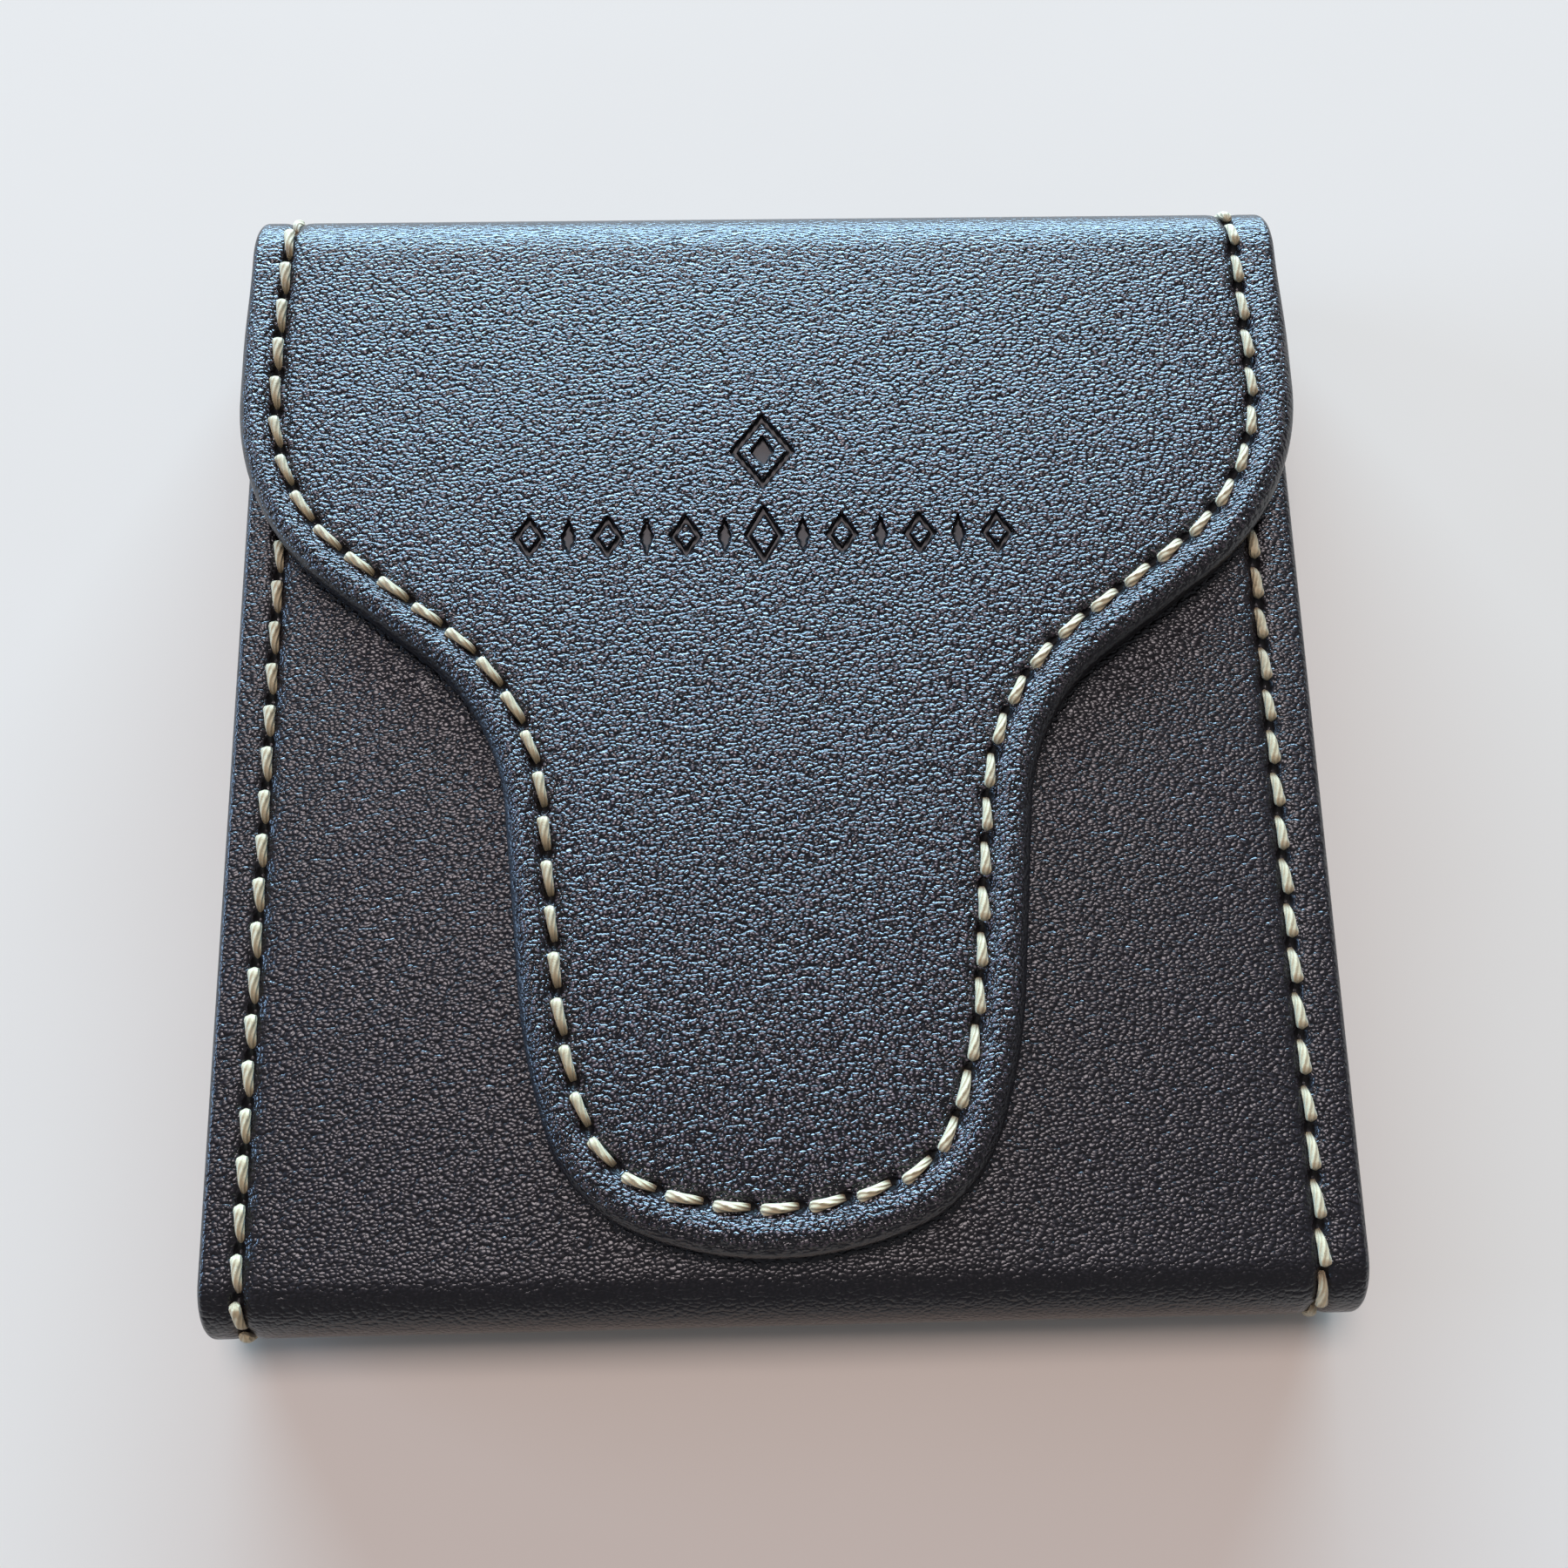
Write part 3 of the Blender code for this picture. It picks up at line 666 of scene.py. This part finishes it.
def sew(name, line, outs, count, slant, seed, tree, stitch):
    """Stitches along a line of points, with the leather's outward direction at each."""
    mesh = bpy.data.meshes.new(name + "_line")
    mesh.from_pydata([tuple(p) for p in line], [(k, k + 1) for k in range(len(line) - 1)], [])
    mesh.attributes.new("out", 'FLOAT_VECTOR', 'POINT').data.foreach_set(
        "vector", np.array(outs, np.float32).ravel())
    guide = bpy.data.objects.new(name + "_line", mesh)
    bpy.context.scene.collection.objects.link(guide)
    modifier = guide.modifiers.new("sewn_seam", 'NODES')
    modifier.node_group = tree
    values = {"Stitch": stitch, "Stitch Count": count, "Slant": slant, "Unevenness": UNEVENNESS,
              "Seed": seed}
    for item in tree.interface.items_tree:
        if item.in_out == 'INPUT' and item.name in values:
            modifier[item.identifier] = values[item.name]
    bpy.context.view_layer.update()
    graph = bpy.context.evaluated_depsgraph_get()
    sewn = bpy.data.meshes.new_from_object(guide.evaluated_get(graph), preserve_all_data_layers=True,
                                           depsgraph=graph)
    sewn.name = name
    bpy.data.objects.remove(guide)
    piece = bpy.data.objects.new(name, sewn)
    bpy.context.scene.collection.objects.link(piece)
    return piece


def strip_seam(side, start, end, sunk):
    """A seam line on the strip's outer face, and its outward directions.

    It is sewn down the left of the front and up the right, so the right line runs backwards."""
    x = side * (HALF_WIDTH - SEAM_INSET)
    line, outs = [], []
    for length in np.linspace(start, end, max(int((end - start) / (0.4 * MM)), 4)):
        y, z, inward_y, inward_z = strip_place(length)
        line.append((x, y + sunk * inward_y, z + sunk * inward_z))
        outs.append((0.0, -inward_y, -inward_z))
    return line[::-side], outs[::-side]


# ---------------------------------------------------------------- linings and small parts
def strip_sheet(name, start, end, steps, material):
    """The lining behind the strip, between two distances from the mouth."""
    half = HALF_WIDTH - LINING_INSET
    middle = list(np.linspace(-half + 1 * MM, half - 1 * MM, 9))
    xs = [-half, -half + 0.15 * MM] + middle + [half - 0.15 * MM, half]
    points = []
    rows = np.linspace(start, end, steps)
    for length in rows:
        y, z, inward_y, inward_z = strip_place(length)
        loop = [(x, LINING_DEPTH) for x in xs] + [(x, PANEL) for x in reversed(xs)]
        points += [(x, y + d * inward_y, z + d * inward_z) for x, d in loop]
    columns = 2 * len(xs)
    faces = ring_faces(len(rows), columns) + end_caps(len(rows), columns)
    return point_outwards(make_mesh(name, points, faces, material))


def flap_skin(material):
    """Suede lining under the flap, with a softly rounded edge."""
    count = FLAP_STITCHES * 3
    lengths = np.linspace(0.0, 2 * HALF_SEAM, count + 1)
    profile = [(LINING_INSET + 0.4 * MM, LINING_DEPTH), (LINING_INSET, LINING_DEPTH + 0.1 * MM),
               (LINING_INSET, PANEL - 0.22 * MM), (LINING_INSET + 0.1 * MM, PANEL - 0.08 * MM),
               (LINING_INSET + 0.3 * MM, PANEL), (2.6 * MM, PANEL), (3.5 * MM, PANEL - 0.03 * MM),
               (SEAM_INSET, PANEL - 0.14 * MM), (4.5 * MM, PANEL - 0.03 * MM), (5.4 * MM, PANEL)]
    points = []
    for inset, depth in profile:
        for length in lengths:
            x, y = flap_point(length, SEAM_INSET - inset)
            points.append((x, y, FLAP_TOP - depth))
    columns = len(lengths)
    faces = ring_faces(len(profile), columns, closed=False) + end_caps(len(profile), columns)
    right = [r * columns for r in range(len(profile))]
    left = [r * columns + columns - 1 for r in range(len(profile))]
    faces.append(tuple(right + list(reversed(left))))
    return point_outwards(make_mesh("flap_suede", points, faces, material))


def refined(node, name, bevel, material, segments=3):
    """A CAD solid's copy with its facets joined and its edges eased."""
    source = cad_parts[node]
    mesh = source.data.copy()
    mesh.name = name
    bm = bmesh.new()
    bm.from_mesh(mesh)
    bmesh.ops.remove_doubles(bm, verts=bm.verts, dist=MERGE_DISTANCE)
    bmesh.ops.dissolve_limit(bm, angle_limit=math.radians(1), verts=bm.verts, edges=bm.edges)
    bm.to_mesh(mesh)
    bm.free()
    mesh.materials.clear()
    mesh.materials.append(material)
    piece = bpy.data.objects.new(name, mesh)
    bpy.context.scene.collection.objects.link(piece)
    ease = piece.modifiers.new("ease", 'BEVEL')
    ease.width = bevel
    ease.segments = segments
    ease.limit_method = 'ANGLE'
    ease.angle_limit = math.radians(50)
    graph = bpy.context.evaluated_depsgraph_get()
    final = bpy.data.meshes.new_from_object(piece.evaluated_get(graph))
    piece.modifiers.clear()
    piece.data = final
    final.shade_smooth()
    final.set_sharp_from_angle(angle=math.radians(SHARP_ANGLE))
    return piece


# ---------------------------------------------------------------- materials
def new_group(name, inputs, outputs):
    tree = bpy.data.node_groups.new(name, 'ShaderNodeTree')
    for key, value in inputs.items():
        made = tree.interface.new_socket(key, in_out='INPUT', socket_type='NodeSocketFloat')
        made.default_value = value
    for key in outputs:
        tree.interface.new_socket(key, in_out='OUTPUT', socket_type='NodeSocketFloat')
    nodes = Nodes(tree)
    return tree, nodes, nodes.add('NodeGroupInput').outputs, nodes.add('NodeGroupOutput')


def pebble_grain():
    """Fine pebbled leather grain: domed cells, the creases between them, the cell tops that take a painted
    glint, and slow drifts.
    """
    tree, nodes, given, result = new_group("pebble_grain", {"Cells per Metre": 2700.0},
                                           ["Height", "Top", "Drift"])
    place = nodes.place()
    warp = nodes.noise(place, 900.0, output="Color")
    moved = nodes.add('ShaderNodeVectorMath', {0: warp, 1: (-0.5, -0.5, -0.5)},
                      operation='ADD').outputs[0]
    small = nodes.add('ShaderNodeVectorMath', {0: moved, 1: (0.0005, 0.0005, 0.0005)},
                      operation='MULTIPLY').outputs[0]
    bent = nodes.add('ShaderNodeVectorMath', {0: place, 1: small}, operation='ADD').outputs[0]
    turned = nodes.stretched(bent, (0.80, 1.12, 1.0), turn=-0.35)
    cells = nodes.add('ShaderNodeTexVoronoi', {"Vector": turned, "Scale": given["Cells per Metre"],
                                               "Randomness": 0.9}).outputs["Distance"]
    dome = nodes.math('SUBTRACT', 1.0, nodes.math('MULTIPLY', cells, cells))
    height = nodes.math('MULTIPLY_ADD', nodes.noise(place, 9000.0), 0.02, dome)
    # The cell-top mask marks where the leather paints a glint: a lighter colour standing in for the lamps'
    # highlights.
    for key, socket in (("Height", height), ("Top", nodes.ramp(cells, 0.42, 0.14)),
                        ("Drift", nodes.noise(place, 45.0, 3.0))):
        tree.links.new(socket, result.inputs[key])
    return tree


def scatter_specks():
    """Sparse dust: tiny light specks, a few of them short fibres."""
    tree, nodes, given, result = new_group("dust", {"Cells per Metre": 110.0, "Rarity": 0.9}, ["Mask"])
    turned = nodes.stretched(nodes.place(), (1.0, 0.35, 1.0), turn=0.9)
    cells = nodes.add('ShaderNodeTexVoronoi', {"Vector": turned, "Scale": given["Cells per Metre"]})
    spot = nodes.math('SUBTRACT', 1.0, nodes.ramp(cells.outputs["Distance"], 0.010, 0.026))
    chance = nodes.add('ShaderNodeSeparateColor', {0: cells.outputs["Color"]}).outputs[0]
    rare = nodes.math('GREATER_THAN', chance, given["Rarity"])
    tree.links.new(nodes.math('MULTIPLY', spot, rare), result.inputs["Mask"])
    return tree


def new_material(name, **constants):
    material = bpy.data.materials.new(name)
    material.use_nodes = True
    nodes = Nodes(material.node_tree)
    shader = material.node_tree.nodes["Principled BSDF"]
    for key, value in constants.items():
        shader.inputs[key.replace("_", " ")].default_value = value
    return material, nodes, shader


def surface(nodes, shader, tone, rough, height, depth):
    """Give a shader its colour, its roughness and a fine relief of the given depth."""
    bump = nodes.add('ShaderNodeBump', {"Height": height, "Distance": depth})
    for key, socket in (("Base Color", tone), ("Roughness", rough), ("Normal", bump.outputs[0])):
        nodes.tree.links.new(socket, shader.inputs[key])


def leather(name, dark, light, roughness, grain_tree, dust_tree, depth):
    """Pebbled leather with a painted glint on its grain's cell tops: calm areas have less grain and fewer
    painted glints, pressed areas are flat and dark, and stitch holes get painted shade.
    """
    material, nodes, shader = new_material(name, IOR=1.5, Specular_IOR_Level=0.7)
    grain = nodes.add('ShaderNodeGroup', node_tree=grain_tree)
    dust = nodes.add('ShaderNodeGroup', node_tree=dust_tree)
    press_and_hole_shade = nodes.add('ShaderNodeAttribute', attribute_name="pressed").outputs["Fac"]
    calm = nodes.add('ShaderNodeAttribute', attribute_name="calm").outputs["Fac"]
    kept = nodes.math('MULTIPLY', nodes.math('MULTIPLY_ADD', press_and_hole_shade, -1.0, 1.0, clamp=True),
                      nodes.math('MULTIPLY_ADD', calm, -0.85, 1.0))
    # Painted glint: the cell tops take the lighter colour, standing in for the lamps' highlights, dimmed
    # where the grain is calm or pressed.
    painted_glint_tone = nodes.mix(grain.outputs["Drift"], tuple(c * 0.8 for c in light),
                      tuple(c * 1.2 for c in light))
    painted_glint_mask = nodes.math('MULTIPLY', grain.outputs["Top"], nodes.math('POWER', kept, 3.0), clamp=True)
    tone = nodes.mix(painted_glint_mask, dark, painted_glint_tone)
    # Pressed ornament floors are darker pressed leather; the stitch holes' darkening is painted shade.
    tone = nodes.mix(nodes.math('MULTIPLY', press_and_hole_shade, 0.95, clamp=True), tone, tuple(c * 0.2 for c in dark))
    tone = nodes.mix(nodes.math('MULTIPLY', dust.outputs["Mask"], 0.8), tone, (0.30, 0.32, 0.36))
    rough = nodes.math('MULTIPLY_ADD', press_and_hole_shade, 0.30, nodes.math('MULTIPLY_ADD', calm, 0.13, roughness))
    surface(nodes, shader, tone, rough, nodes.math('MULTIPLY', grain.outputs["Height"], kept), depth)
    return material


def suede(name, dark, light):
    """Split leather lining: a short nap over slow clouds brushed along the strip."""
    material, nodes, shader = new_material(name, Sheen_Weight=0.35, Sheen_Roughness=0.45,
                                           Specular_IOR_Level=0.2)
    place = nodes.place()
    nap = nodes.noise(place, 2600.0, 4.0)
    cloud = nodes.noise(nodes.stretched(place, (1.0, 0.3, 1.0)), 90.0, 3.0)
    clouded = nodes.mix(nodes.ramp(cloud, 0.35, 0.65), dark, light)
    tone = nodes.mix(nodes.ramp(nap, 0.35, 0.7), clouded, dark)
    surface(nodes, shader, tone, nodes.ramp(nap, 0.2, 0.8, 0.85, 1.0), nap, 0.08 * MM)
    return material


def waxed_thread():
    """Twisted thread: plies run round each stitch, with painted shade in the grooves between plies and where
    it dives into its hole.
    """
    material, nodes, shader = new_material("waxed_thread", Sheen_Weight=0.2, Coat_Weight=0.10,
                                           Coat_Roughness=0.4)
    ply = nodes.add('ShaderNodeUVMap', uv_map="ply").outputs[0]
    along = nodes.add('ShaderNodeSeparateXYZ', {0: ply}).outputs
    phase = nodes.math('MULTIPLY_ADD', along[0], -2.5, nodes.math('MULTIPLY', along[1], 6.0))
    strand = nodes.math('SINE', nodes.math('MULTIPLY', phase, 2 * math.pi))
    place = nodes.place()
    fuzz = nodes.noise(place, 7000.0, 3.0)
    tone = nodes.mix(nodes.noise(place, 120.0), (0.64, 0.51, 0.29), (0.72, 0.60, 0.38))
    # Painted shade in the grooves between the plies.
    tone = nodes.mix(nodes.ramp(strand, -1.0, 0.2, 0.28, 0.0), tone, (0.30, 0.22, 0.11))
    # Painted shade where the stitch dives into its hole.
    tone = nodes.mix(nodes.ramp(along[0], 0.68, 1.0, 0.0, 0.7), tone, (0.20, 0.12, 0.05))
    height = nodes.math('MULTIPLY_ADD', fuzz, 0.6, strand)
    surface(nodes, shader, tone, nodes.ramp(fuzz, 0.3, 0.7, 0.5, 0.75), height, 0.04 * MM)
    return material


def brushed_steel():
    """Spring steel with fine brush lines along the case and a few dull marks."""
    material, nodes, shader = new_material("brushed_spring_steel", Metallic=1.0)
    place = nodes.place()
    brush = nodes.noise(nodes.stretched(place, (1.0, 0.03, 1.0)), 5200.0, 4.0)
    marks = nodes.ramp(nodes.noise(place, 160.0, 3.0), 0.35, 0.7)
    tone = nodes.mix(marks, (0.62, 0.62, 0.63), (0.50, 0.50, 0.52))
    surface(nodes, shader, tone, nodes.math('MULTIPLY_ADD', brush, 0.22, 0.18), brush, 0.01 * MM)
    return material


def pressed_fibre():
    """Grey-brown stiffener board."""
    material, nodes, shader = new_material("pressed_fibre", Specular_IOR_Level=0.3)
    flock = nodes.noise(nodes.place(), 1500.0, 5.0)
    tone = nodes.mix(nodes.ramp(flock, 0.3, 0.7), (0.20, 0.17, 0.14), (0.34, 0.30, 0.25))
    surface(nodes, shader, tone, nodes.ramp(flock, 0.3, 0.7, 0.75, 0.9), flock, 0.05 * MM)
    return material


def pale_table():
    """Warm off-white table with a faint mottle."""
    material, nodes, shader = new_material("pale_table", Roughness=0.9, Specular_IOR_Level=0.1)
    tone = nodes.mix(nodes.noise(nodes.place(), 30.0, 3.0), (0.810, 0.700, 0.585), (0.830, 0.720, 0.605))
    nodes.tree.links.new(tone, shader.inputs["Base Color"])
    return material


# ---------------------------------------------------------------- camera, light and floor
def add_camera():
    """Looking down at the flap from just short of the bottom fold."""
    data = bpy.data.cameras.new("camera")
    data.sensor_width = 36.0
    data.lens = 34.66
    camera = bpy.data.objects.new("camera", data)
    camera.location = (-1.88 * MM, -36.9 * MM, 141.4 * MM)
    camera.rotation_euler = (0.2329, -0.0160, -0.0213)
    data.clip_start = 1 * MM
    bpy.context.scene.collection.objects.link(camera)
    bpy.context.scene.camera = camera


def add_light(name, size, power, colour, azimuth, elevation, distance):
    """A soft rectangular light aimed at the case; azimuth 90 is beyond its top fold."""
    data = bpy.data.lights.new(name, 'AREA')
    data.shape = 'RECTANGLE'
    data.size, data.size_y = size
    data.energy = power
    data.color = colour
    lamp = bpy.data.objects.new(name, data)
    turn, rise = math.radians(azimuth), math.radians(elevation)
    level = math.cos(rise)
    place = Vector((math.cos(turn) * level, math.sin(turn) * level, math.sin(rise))) * distance
    lamp.location = place
    lamp.rotation_euler = (-place).to_track_quat('-Z', 'Y').to_euler()
    lamp.visible_camera = False
    bpy.context.scene.collection.objects.link(lamp)


def add_floor():
    """A table top as low as the stitches on the back."""
    span = 3.0
    level = -0.35 * MM
    corners = [(-span, -span, level), (span, -span, level), (span, span, level), (-span, span, level)]
    floor = make_mesh("table_top", corners, [(0, 1, 2, 3)], pale_table())


def add_world():
    """Faint even light from the room."""
    world = bpy.data.worlds.new("soft_room")
    bpy.context.scene.world = world
    world.use_nodes = True
    background = world.node_tree.nodes["Background"]
    background.inputs["Color"].default_value = (0.86, 0.90, 1.0, 1.0)
    background.inputs["Strength"].default_value = 0.19


bpy.context.scene.view_settings.view_transform = 'Standard'
add_camera()
add_floor()
add_world()
add_light("window", (5.0, 1.15), 595.0, (0.45, 0.73, 1.0), 92, 13, 4.0)
add_light("side_window", (2.2, 0.65), 85.0, (0.40, 0.64, 1.0), 170, 12, 3.8)
add_light("ceiling", (1.15, 1.0), 32.0, (1.0, 0.88, 0.91), 100, 68, 2.6)

# ---------------------------------------------------------------- the pieces
grain_tree = pebble_grain()
dust_tree = scatter_specks()
# The second colour of each leather is the painted glint on its grain's cell tops.
cover_leather = leather("pebbled_leather", (0.0075, 0.0055, 0.0068), (0.138, 0.108, 0.120), 0.20,
                        grain_tree, dust_tree, 0.20 * MM)
gusset_leather = leather("gusset_leather", (0.008, 0.006, 0.007), (0.040, 0.036, 0.040), 0.40,
                         grain_tree, dust_tree, 0.08 * MM)
lining_suede = suede("lining_suede", (0.050, 0.034, 0.028), (0.082, 0.058, 0.047))
thread = waxed_thread()
steel = brushed_steel()
board = pressed_fibre()

for node_name, finish in (("front_board", board), ("back_board", board), ("flap_board", board),
                          ("front_keeper", steel), ("flap_magnet", steel)):
    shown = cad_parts[node_name]
    shown.data.materials.clear()
    shown.data.materials.append(finish)

# Leather
case = strip_leather("case_leather", stitch_steps(SEAM_START, CASE_LENGTH, CASE_PITCH), cover_leather,
                     mouth=True)
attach(case, "case")
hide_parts("case_cover")

fold_start = (0.0, TOP_Y, 0.0)
fold_apex = (0.0, TOP_Y + TOP_RADIUS, TOP_RADIUS)
fold_end = (0.0, TOP_Y, FLAP_TOP)
back_turn = ("back", "case", "fold", fold_start, fold_apex)
front_turn = ("front", "fold", "flap", fold_apex, fold_end)
for (which, body_a, body_b, start, end), from_length, to_length in (
        (back_turn, CASE_LENGTH, FOLD_APEX_LENGTH), (front_turn, FOLD_APEX_LENGTH, STRIP_LENGTH)):
    cover = strip_leather("fold_leather_" + which, np.linspace(from_length, to_length, 40), cover_leather)
    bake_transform(cover)
    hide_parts("fold_cover")
    skin = strip_sheet("fold_suede_" + which, from_length, to_length, 24, lining_suede)
    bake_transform(skin)
    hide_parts("fold_lining")

flap = flap_leather(cover_leather)
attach(flap, "flap")
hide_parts("flap_cover")

flap_lining = flap_skin(lining_suede)
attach(flap_lining, "flap")
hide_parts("flap_lining")

# Stitches
stitch = stitch_shape(thread)
seam = seam_tree(thread)
seed = 1
for side, label in ((1, "right"), (-1, "left")):
    line, outs = strip_seam(side, SEAM_START, CASE_LENGTH, SUNK)
    sewn = sew("case_stitches_" + label, line, outs, CASE_STITCHES, SLANT, seed, seam, stitch)
    seed += 1
    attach(sewn, "case")
    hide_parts("case_thread_" + label)
    for (which, body_a, body_b, start, end), from_length, to_length in (
            (back_turn, CASE_LENGTH, FOLD_SPLIT), (front_turn, FOLD_SPLIT, STRIP_LENGTH)):
        line, outs = strip_seam(side, from_length, to_length, SUNK)
        count = round((to_length - from_length) / FOLD_PITCH)
        sewn = sew(f"fold_stitches_{label}_{which}", line, outs, count, SLANT, seed, seam, stitch)
        seed += 1
        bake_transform(sewn)
        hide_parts("fold_thread_" + label)

lengths = np.linspace(2 * HALF_SEAM, 0.0, FLAP_STITCHES * STEPS_PER_STITCH + 1)
top_line = [(*flap_point(length, 0.0), FLAP_TOP - SUNK) for length in lengths]
flap_sewn = sew("flap_stitches", top_line, [(0, 0, 1)] * len(lengths), FLAP_STITCHES, SLANT, seed, seam,
                stitch)
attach(flap_sewn, "flap")
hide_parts("flap_thread")
under_line = [(*flap_point(length, 0.0), FLAP_TOP - PANEL + UNDER_SUNK) for length in lengths]
under = sew("flap_stitches_under", under_line, [(0, 0, -1)] * len(lengths), FLAP_STITCHES, -SLANT,
            seed + 1, seam, stitch)
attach(under, "flap")
bpy.data.objects.remove(stitch)

# Inside: lining, gussets and clip
small_parts = (("case_lining", "case_suede", 0.10, lining_suede, "case", "lining"),
               ("left_gusset", "gusset_left_leather", 0.12, gusset_leather, "case", "leather"),
               ("right_gusset", "gusset_right_leather", 0.12, gusset_leather, "case", "leather"),
               ("clip_base", "clip_base_plate", 0.12, steel, "case", "steel"),
               ("clip_rivet_left", "rivet_left", 0.12, steel, "case", "steel"),
               ("clip_rivet_right", "rivet_right", 0.12, steel, "case", "steel"),
               ("clip_arm", "clip_spring_arm", 0.12, steel, "clip_arm", "steel"))
for node_name, label, bevel_mm, finish, body, slot_name in small_parts:
    part = refined(node_name, label, bevel_mm * MM, finish)
    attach(part, body)
    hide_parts(node_name)
